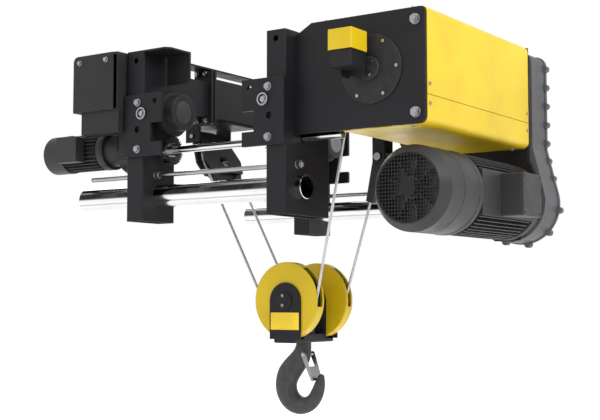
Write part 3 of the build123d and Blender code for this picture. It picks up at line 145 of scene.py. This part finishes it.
def make_stage():
    """White surroundings, three soft lamps and a pale floor."""
    world = bpy.data.worlds.new("studio")
    bpy.context.scene.world = world
    world.use_nodes = True
    background = world.node_tree.nodes["Background"]
    background.inputs["Color"].default_value = (1, 1, 1, 1)
    background.inputs["Strength"].default_value = 1.0
    area_light("key", (4.2, -1.2, 2.4), (0.4, 0, -0.2), (2.5, 2.0), 120)
    area_light("front", (0.6, -4.6, 1.8), (0, 0, -0.3), (3.0, 1.2), 6)
    area_light("rim", (-3.2, 2.6, 2.0), (0, 0, 0), (2.0, 2.0), 60)
    level = cad_bounds[0][2] - FLOOR_DROP
    mesh = bpy.data.meshes.new("floor")
    corners = [(x * FLOOR_HALF, y * FLOOR_HALF, level) for x, y in ((-1, -1), (1, -1), (1, 1), (-1, 1))]
    mesh.from_pydata(corners, [], [(0, 1, 2, 3)])
    floor = bpy.data.objects.new("floor", mesh)
    bpy.context.collection.objects.link(floor)
    material = bpy.data.materials.new("pale_floor")
    material.use_nodes = True
    shader = material.node_tree.nodes["Principled BSDF"]
    shader.inputs["Base Color"].default_value = (0.97, 0.97, 0.97, 1)
    shader.inputs["Roughness"].default_value = 0.9
    shader.inputs["Emission Color"].default_value = (1, 1, 1, 1)
    shader.inputs["Emission Strength"].default_value = 0.25
    mesh.materials.append(material)
    bpy.context.scene.view_settings.view_transform = "Standard"


# ---- Procedural materials ----
class Nodes:
    """A material's node tree, with short calls for the nodes used here.

    Textures use object coordinates, in metres.
    """

    def __init__(self, name):
        self.material = bpy.data.materials.new(name)
        self.material.use_nodes = True
        self.tree = self.material.node_tree
        self.shader = self.tree.nodes["Principled BSDF"]
        self.place = self.add("ShaderNodeTexCoord").outputs["Object"]

    def add(self, kind, **settings):
        node = self.tree.nodes.new(kind)
        for key, value in settings.items():
            setattr(node, key, value)
        return node

    def link(self, source, target):
        self.tree.links.new(source, target)

    def noise(self, scale, detail, stretch=(1, 1, 1)):
        mapping = self.add("ShaderNodeMapping")
        mapping.inputs["Scale"].default_value = stretch
        self.link(self.place, mapping.inputs["Vector"])
        texture = self.add("ShaderNodeTexNoise")
        texture.inputs["Scale"].default_value = scale
        texture.inputs["Detail"].default_value = detail
        self.link(mapping.outputs["Vector"], texture.inputs["Vector"])
        return texture.outputs["Fac"]

    def ramp(self, factor, stops):
        ramp = self.add("ShaderNodeValToRGB")
        elements = ramp.color_ramp.elements
        while len(elements) < len(stops):
            elements.new(0.5)
        for element, (position, colour) in zip(elements, stops):
            element.position = position
            element.color = (*colour, 1)
        self.link(factor, ramp.inputs["Fac"])
        return ramp.outputs["Color"]

    def spread(self, factor, low, high, from_low=0.3, from_high=0.7):
        """Maps from_low ... from_high to low ... high, and holds the ends."""
        span = self.add("ShaderNodeMapRange")
        for key, value in (("From Min", from_low), ("From Max", from_high), ("To Min", low),
                           ("To Max", high)):
            span.inputs[key].default_value = value
        self.link(factor, span.inputs["Value"])
        return span.outputs["Result"]

    def bump(self, height, strength, distance, normal=None):
        node = self.add("ShaderNodeBump")
        node.inputs["Strength"].default_value = strength
        node.inputs["Distance"].default_value = distance
        self.link(height, node.inputs["Height"])
        if normal:
            self.link(normal, node.inputs["Normal"])
        return node.outputs["Normal"]

    def rounded(self, radius):
        """A normal that rounds sharp edges off to this radius."""
        bevel = self.add("ShaderNodeBevel", samples=4)
        bevel.inputs["Radius"].default_value = radius
        return bevel.outputs["Normal"]

    def edges(self, normal):
        """1 along sharp edges, 0 on flat faces: how far the rounded normal turns from the true one."""
        geometry = self.add("ShaderNodeNewGeometry")
        dot = self.add("ShaderNodeVectorMath", operation="DOT_PRODUCT")
        self.link(normal, dot.inputs[0])
        self.link(geometry.outputs["True Normal"], dot.inputs[1])
        return self.spread(dot.outputs["Value"], 1.0, 0.0, 0.80, 0.985)

    def mix(self, factor, first, second):
        node = self.add("ShaderNodeMix", data_type="RGBA")
        self.link(factor, node.inputs["Factor"])
        for value, socket in ((first, node.inputs[6]), (second, node.inputs[7])):
            if isinstance(value, tuple):
                socket.default_value = (*value, 1)
            else:
                self.link(value, socket)
        return node.outputs[2]

    def multiply(self, first, second):
        node = self.add("ShaderNodeMath", operation="MULTIPLY")
        self.link(first, node.inputs[0])
        self.link(second, node.inputs[1])
        return node.outputs[0]


def shade(colour, amount):
    """The colour, made darker or lighter."""
    return tuple(min(1.0, part * amount) for part in colour)


def paint(name, colour, roughness, worn, peel=0.12, edge=0.002, coat=0.0, shine=0.2):
    """Sprayed paint: faint orange peel, patches of dust, and edges where it has thinned."""
    n = Nodes(name)
    rounded = n.rounded(edge)
    patches = n.ramp(n.noise(4.5, 6), [(0.30, shade(colour, 0.88)), (0.70, shade(colour, 1.08))])
    specks = n.spread(n.noise(140, 3), 0, 0.5, 0.62, 0.74)
    dusty = n.mix(specks, patches, shade(colour, 0.82))
    rubbed = n.multiply(n.edges(rounded), n.spread(n.noise(38, 5), 0, 1, 0.42, 0.66))
    n.link(n.mix(rubbed, dusty, worn), n.shader.inputs["Base Color"])
    n.link(n.spread(n.noise(11, 5), roughness - 0.06, roughness + 0.10), n.shader.inputs["Roughness"])
    n.link(n.bump(n.noise(900, 2), peel, 0.0004, rounded), n.shader.inputs["Normal"])
    n.shader.inputs["Specular IOR Level"].default_value = shine
    n.shader.inputs["Coat Weight"].default_value = coat
    n.shader.inputs["Coat Roughness"].default_value = 0.3
    return n.material


def metal(name, colour, roughness, grain, stretch=(1, 1, 1), bump=0.08, edge=0.001):
    """Bare metal with turning or drawing marks along one direction and faint stains."""
    n = Nodes(name)
    rounded = n.rounded(edge)
    stains = n.ramp(n.noise(14, 6), [(0.25, shade(colour, 0.78)), (0.65, colour)])
    n.link(stains, n.shader.inputs["Base Color"])
    marks = n.noise(grain, 3, stretch)
    n.link(n.spread(marks, max(0.02, roughness * 0.7), roughness * 1.4), n.shader.inputs["Roughness"])
    n.link(n.bump(marks, bump, 0.0003, rounded), n.shader.inputs["Normal"])
    n.shader.inputs["Metallic"].default_value = 1.0
    return n.material


def chrome():
    """Polished bar. Its light and dark bands are painted reflections in the base colour: they follow how
    far the surface faces up, from below to above, and stay the same under any lamp.
    """
    n = Nodes("chrome")
    geometry = n.add("ShaderNodeNewGeometry")
    parts = n.add("ShaderNodeSeparateXYZ")
    n.link(geometry.outputs["Normal"], parts.inputs["Vector"])
    height = n.spread(parts.outputs["Z"], 0, 1, -1, 1)
    # Painted reflection: the grey level of each band, from facing down to facing up.
    levels = [(0.0, 0.62), (0.20, 0.72), (0.245, 0.36), (0.29, 0.74), (0.45, 0.76), (0.52, 0.03),
              (0.72, 0.02), (0.78, 0.35), (0.82, 0.55), (0.87, 0.06), (0.93, 0.45), (1.0, 0.20)]
    painted_reflection_bands = n.ramp(height, [(place, (level, level, level * 1.02)) for place, level in levels])
    # Random wiped patches pull the painted reflection bands toward plain grey.
    wiped = n.spread(n.noise(9, 5), 0.0, 0.25, 0.45, 0.75)
    n.link(n.mix(wiped, painted_reflection_bands, (0.45, 0.45, 0.46)), n.shader.inputs["Base Color"])
    marks = n.noise(320, 3, (0.02, 1, 1))
    n.link(n.spread(marks, 0.10, 0.22), n.shader.inputs["Roughness"])
    n.link(n.bump(marks, 0.02, 0.0003), n.shader.inputs["Normal"])
    n.shader.inputs["Metallic"].default_value = 1.0
    return n.material


def cast(name, colour, roughness, metallic=0.0, pit=0.55):
    """Cast or forged surface: fine pitting over broad unevenness."""
    n = Nodes(name)
    rounded = n.rounded(0.002)
    coarse = n.noise(30, 8)
    n.link(n.ramp(coarse, [(0.28, shade(colour, 0.72)), (0.72, shade(colour, 1.2))]),
           n.shader.inputs["Base Color"])
    n.link(n.spread(n.noise(80, 6), roughness - 0.1, roughness + 0.12), n.shader.inputs["Roughness"])
    n.shader.inputs["Specular IOR Level"].default_value = 0.25
    skin = n.bump(n.noise(420, 5), pit, 0.0006, rounded)
    n.link(n.bump(coarse, 0.35, 0.0012, skin), n.shader.inputs["Normal"])
    n.shader.inputs["Metallic"].default_value = metallic
    return n.material


def plastic(name, colour, roughness):
    """Moulded plastic with a fine cellular grain."""
    n = Nodes(name)
    rounded = n.rounded(0.0015)
    n.link(n.ramp(n.noise(9, 4), [(0.3, shade(colour, 0.85)), (0.7, shade(colour, 1.15))]),
           n.shader.inputs["Base Color"])
    n.link(n.spread(n.noise(60, 4), roughness - 0.05, roughness + 0.08), n.shader.inputs["Roughness"])
    n.shader.inputs["Specular IOR Level"].default_value = 0.25
    cells = n.add("ShaderNodeTexVoronoi")
    cells.inputs["Scale"].default_value = 1400
    n.link(n.place, cells.inputs["Vector"])
    n.link(n.bump(cells.outputs["Distance"], 0.2, 0.0002, rounded), n.shader.inputs["Normal"])
    return n.material


def make_materials():
    """The record's material slots by name, and pressed_steel for the latch and the small screws."""
    return {
        "yellow_paint": paint("yellow_paint", (0.61, 0.425, 0.007), 0.34, (0.50, 0.34, 0.03), coat=0.08,
                              shine=0.3),
        "black_paint": paint("black_paint", (0.012, 0.011, 0.013), 0.42, (0.07, 0.07, 0.075)),
        "grey_paint": paint("grey_paint", (0.022, 0.022, 0.023), 0.45, (0.09, 0.09, 0.095)),
        "motor_paint": paint("motor_paint", (0.032, 0.031, 0.033), 0.46, (0.11, 0.11, 0.115), peel=0.25,
                             shine=0.25),
        "gearbox_paint": paint("gearbox_paint", (0.085, 0.083, 0.088), 0.5, (0.19, 0.19, 0.195), peel=0.35),
        "chrome": chrome(),
        "zinc": metal("zinc", (0.40, 0.40, 0.42), 0.22, 600),
        "steel": metal("steel", (0.20, 0.20, 0.21), 0.34, 700, (0.05, 1, 1), bump=0.15),
        "rope_steel": metal("rope_steel", (0.50, 0.50, 0.52), 0.30, 900, bump=0.2, edge=0.0004),
        "forged_steel": cast("forged_steel", (0.050, 0.050, 0.052), 0.46, 0.2),
        "cast_dark": cast("cast_dark", (0.020, 0.020, 0.021), 0.5),
        "black_plastic": plastic("black_plastic", (0.010, 0.010, 0.011), 0.5),
        "label_yellow": plastic("label_yellow", (0.80, 0.56, 0.03), 0.35),
        "pressed_steel": metal("pressed_steel", (0.30, 0.30, 0.31), 0.34, 700),
    }


def dress_cad_nodes(materials):
    """Gives each CAD node the material of its own slot."""
    for row in frame["record"]["subparts"]:
        piece = frame["nodes"][row["node"]]
        material = materials[row["material_slot"]]
        if not piece.material_slots:
            piece.data.materials.append(material)
        for held in piece.material_slots:
            held.material = material


# ---- Mesh helpers ----
def new_piece(name, bm, material, body, smooth=True):
    """Makes an object from the mesh, with its material, riding on a CAD body."""
    bmesh.ops.recalc_face_normals(bm, faces=bm.faces)
    mesh = bpy.data.meshes.new(name)
    bm.to_mesh(mesh)
    bm.free()
    for face in mesh.polygons:
        face.use_smooth = smooth
    mesh.materials.append(material)
    piece = bpy.data.objects.new(name, mesh)
    bpy.context.collection.objects.link(piece)
    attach(piece, body)
    return piece


def skin_rings(bm, rings):
    """Joins rings of vertices into a closed skin, with both ends capped."""
    for near, far in zip(rings, rings[1:]):
        count = len(near)
        for i in range(count):
            bm.faces.new((near[i], near[(i + 1) % count], far[(i + 1) % count], far[i]))
    bm.faces.new(list(reversed(rings[0])))
    bm.faces.new(rings[-1])


def turned(bm, x, z, profile, sides):
    """A turned piece along Y, from a list of (radius, y)."""
    turns = [2 * math.pi * i / sides for i in range(sides)]
    skin_rings(bm, [[bm.verts.new((x + radius * math.cos(a), y, z + radius * math.sin(a))) for a in turns]
                    for radius, y in profile])


def plate(bm, outline, near, far):
    """A plate with this outline in X and Z, from one Y to another."""
    front = [bm.verts.new((x, near, z)) for x, z in outline]
    back = [bm.verts.new((x, far, z)) for x, z in outline]
    skin_rings(bm, [front, back])


# ---- Rope: six strands ----
def rope_mesh(bm, points):
    """A rope along a list of points: a six-lobed section that turns once in each lay."""
    rings = []
    travelled = 0.0
    across = (points[1] - points[0]).orthogonal().normalized()
    for number, point in enumerate(points):
        ahead = points[min(number + 1, len(points) - 1)]
        behind = points[max(number - 1, 0)]
        along = (ahead - behind).normalized()
        across = (across - along * across.dot(along)).normalized()
        second = along.cross(across)
        if number:
            travelled += (point - behind).length
        turn = 2 * math.pi * travelled / ROPE_LAY
        ring = []
        for side in range(ROPE_SIDES):
            angle = 2 * math.pi * side / ROPE_SIDES
            lobe = abs(math.cos(3 * angle))
            radius = ROPE_RADIUS * (ROPE_VALLEY + ROPE_SWELL * lobe**ROPE_FULLNESS)
            offset = across * math.cos(angle + turn) + second * math.sin(angle + turn)
            ring.append(bm.verts.new(point + offset * radius))
        rings.append(ring)
    skin_rings(bm, rings)


def straight(start, end):
    """Points along a straight run."""
    count = max(2, round((end - start).length / ROPE_STEP))
    return [start.lerp(end, i / count) for i in range(count + 1)]


def half_turn(centre, first, second, radius):
    """Points round half a circle, from its first side past its second to opposite the first."""
    count = round(math.pi * radius / ROPE_STEP)
    angles = [math.pi * i / count for i in range(count + 1)]
    return [centre + (first * math.cos(angle) + second * math.sin(angle)) * radius for angle in angles]


def make_rope(materials):
    """The four falls and the wraps round the sheaves."""
    steel = materials["rope_steel"]
    right = Vector((SHEAVE_RADIUS, 0, 0))
    front = BLOCK - Vector((0, FALL_SPACING / 2, 0))
    rear = BLOCK + Vector((0, FALL_SPACING / 2, 0))
    along_y = Vector((0, 1, 0))
    up = Vector((-math.sin(FALL_LEAN), 0, math.cos(FALL_LEAN)))
    socket_way = (SOCKET_MOUTH - rear - right).normalized()
    falls = [
        ("rope_drum_fall", front + right, DRUM_EXIT, "drum_fall"),
        ("rope_front_left_fall", front - right, RETURN_CENTRE - along_y * RETURN_RADIUS, "left_falls"),
        ("rope_rear_left_fall", rear - right, RETURN_CENTRE + along_y * RETURN_RADIUS, "left_falls"),
        ("rope_anchor_fall", rear + right, SOCKET_MOUTH + socket_way * ROPE_IN_SOCKET, "anchor_fall"),
    ]
    for name, low, high, node in falls:
        bm = bmesh.new()
        rope_mesh(bm, straight(low, high))
        piece = new_piece(name, bm, steel, "trolley")
        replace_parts(piece, node)
        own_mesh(piece)
    for name, centre in (("rope_front_wrap", front), ("rope_rear_wrap", rear)):
        bm = bmesh.new()
        rope_mesh(bm, half_turn(centre, Vector((1, 0, 0)), Vector((0, 0, -1)), SHEAVE_RADIUS))
        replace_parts(new_piece(name, bm, steel, "hook_block"), "block_rope")
    bm = bmesh.new()
    rope_mesh(bm, half_turn(RETURN_CENTRE, along_y, up, RETURN_RADIUS))
    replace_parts(new_piece("rope_return_wrap", bm, steel, "trolley"), "return_rope")


# ---- Hook: a forged horn whose section changes along its length ----
def on_circle(centre, radius, degrees):
    angle = math.radians(degrees)
    return (centre[0] + radius * math.cos(angle), centre[1] + radius * math.sin(angle))


def make_hook(materials):
    """The hook and the rivet that its latch turns on."""
    def back(degrees):
        return on_circle(BACK_CENTRE, BACK_RADIUS, degrees)

    def inside(degrees):
        return on_circle((0, 0), SEAT_RADIUS, degrees)

    r = SHANK_RADIUS
    # inner point and outer point, from the seat in X and Z; half the thickness; how much thinner the outer
    # side is
    sections = [
        ((r, 0.296), (-r, 0.296), r, 0.0), ((r, 0.262), (-r, 0.262), r, 0.0),
        ((r + 0.001, 0.215), (-r - 0.001, 0.215), r, 0.0),
        ((r + 0.001, 0.185), (-r - 0.006, 0.187), r, 0.0),
        ((0.034, 0.150), (-0.055, 0.163), 0.034, 0.05), ((0.026, 0.112), (-0.088, 0.138), 0.034, 0.10),
        ((-0.008, 0.068), back(136), 0.034, 0.16), (inside(150), back(152), 0.034, 0.24),
        (inside(180), back(180), 0.034, 0.30), (inside(210), back(208), 0.034, 0.32),
        (inside(240), back(236), 0.034, 0.30), (inside(270), back(265), 0.034, 0.28),
        (inside(300), back(295), 0.033, 0.24), (inside(325), back(322), 0.030, 0.18),
        ((0.059, 0.012), back(350), 0.025, 0.12), ((0.072, 0.037), (0.1125, 0.025), 0.021, 0.06),
        ((0.081, 0.053), (0.110, 0.050), 0.017, 0.0), ((0.090, 0.062), (0.105, 0.061), 0.009, 0.0),
    ]
    bm = bmesh.new()
    rings = []
    for inner, outer, half, taper in sections:
        inner = SEAT + Vector((inner[0], 0, inner[1]))
        outer = SEAT + Vector((outer[0], 0, outer[1]))
        middle = (inner + outer) / 2
        reach = (outer - inner) / 2
        ring = []
        for side in range(HOOK_SIDES):
            angle = 2 * math.pi * side / HOOK_SIDES
            cosine, sine = math.cos(angle), math.sin(angle)
            power = 1.0 if taper == 0 else HOOK_SQUARENESS
            wide = math.copysign(abs(cosine) ** power, cosine)
            thick = math.copysign(abs(sine) ** power, sine) * half * (1 - taper * (wide + 1) / 2)
            ring.append(bm.verts.new(middle + reach * wide + Vector((0, thick, 0))))
        rings.append(ring)
    skin_rings(bm, rings)
    hook = new_piece("forged_hook", bm, materials["forged_steel"], "hook")
    smooth = hook.modifiers.new("smooth", "SUBSURF")
    smooth.levels = smooth.render_levels = 2
    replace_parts(hook, "hook")
    bm = bmesh.new()
    head = [(0.008, 0.044), (0.0105, 0.0425), (0.0105, 0.0395), (0.0068, 0.039)]
    profile = [(radius, -y) for radius, y in head] + list(reversed(head))
    turned(bm, LATCH_PIVOT.x, LATCH_PIVOT.z,
           [(radius, LATCH_PIVOT.y + y) for radius, y in profile], sides=24)
    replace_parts(new_piece("latch_rivet", bm, materials["zinc"], "hook"), "hook")


# ---- Latch: two pressed cheeks joined by a web behind the hook's point ----
def make_latch(materials):
    """The latch, along the line from its pivot to its tip."""
    pivot, tip = (Vector((point.x, point.z)) for point in (LATCH_PIVOT, LATCH_TIP))
    way = (tip - pivot).normalized()
    side = Vector((-way.y, way.x))
    eye_radius, tip_half, web_length, web_sheet = 0.0135, 0.0055, 0.062, 0.003
    cheek_inner, cheek_outer, web_half = 0.0362, 0.0392, 0.0375
    start = math.degrees(math.atan2(side.y, side.x))
    outline = [on_circle(pivot, eye_radius, start + 180 * i / 14) for i in range(15)]
    outline += [tuple(tip - side * tip_half), tuple(tip + side * tip_half)]
    bm = bmesh.new()
    for end in (-1, 1):
        plate(bm, outline, SEAT.y + end * cheek_inner, SEAT.y + end * cheek_outer)
    root = pivot + way * web_length
    root_half = 0.0085
    web = [root + side * root_half, tip + side * tip_half, tip + side * (tip_half - web_sheet),
           root + side * (root_half - web_sheet)]
    plate(bm, [tuple(point) for point in web], SEAT.y - web_half, SEAT.y + web_half)
    latch = new_piece("pressed_latch", bm, materials["pressed_steel"], "hook_latch", smooth=False)
    edges = latch.modifiers.new("edges", "BEVEL")
    edges.width = 0.0012
    edges.segments = 2
    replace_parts(latch, "hook_latch")


# ---- Sheave pin of the hook block, with a painted cap and two screws at each end ----
def make_sheave_pin(materials):
    """The pin through both sheaves. Profiles are lists of (radius, distance out from the side plate)."""
    low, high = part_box("block_plates")
    pin_radius, chamfer = 0.026, 0.0025
    screw_offset, screw_height = -0.008, 0.022
    cap = [(0.040, 0.0), (0.040, 0.0034), (0.0392, 0.0044), (0.0380, 0.0048), (0.010, 0.0050)]
    head = [(0.0078, 0.0046), (0.0078, 0.0090), (0.0068, 0.0102), (0.0042, 0.0106), (0.0038, 0.0078)]
    bm = bmesh.new()
    turned(bm, BLOCK.x, BLOCK.z, [(pin_radius - chamfer, low.y), (pin_radius, low.y + chamfer),
                                  (pin_radius, high.y - chamfer), (pin_radius - chamfer, high.y)], sides=40)
    pin = new_piece("sheave_pin", bm, materials["zinc"], "hook_block", smooth=False)
    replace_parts(pin, "block_pin")
    for name, face, out in (("front", low.y, -1), ("rear", high.y, 1)):
        bm = bmesh.new()
        turned(bm, BLOCK.x, BLOCK.z, [(radius, face + out * depth) for radius, depth in cap], sides=56)
        new_piece(f"{name}_pin_cap", bm, materials["black_paint"], "hook_block")
        bm = bmesh.new()
        for height in (-screw_height, screw_height):
            turned(bm, BLOCK.x + screw_offset, BLOCK.z + height,
                   [(radius, face + out * depth) for radius, depth in head], sides=28)
        new_piece(f"{name}_cap_screws", bm, materials["pressed_steel"], "hook_block")


make_camera()
make_stage()
materials = make_materials()
dress_cad_nodes(materials)
make_rope(materials)
make_hook(materials)
make_latch(materials)
make_sheave_pin(materials)
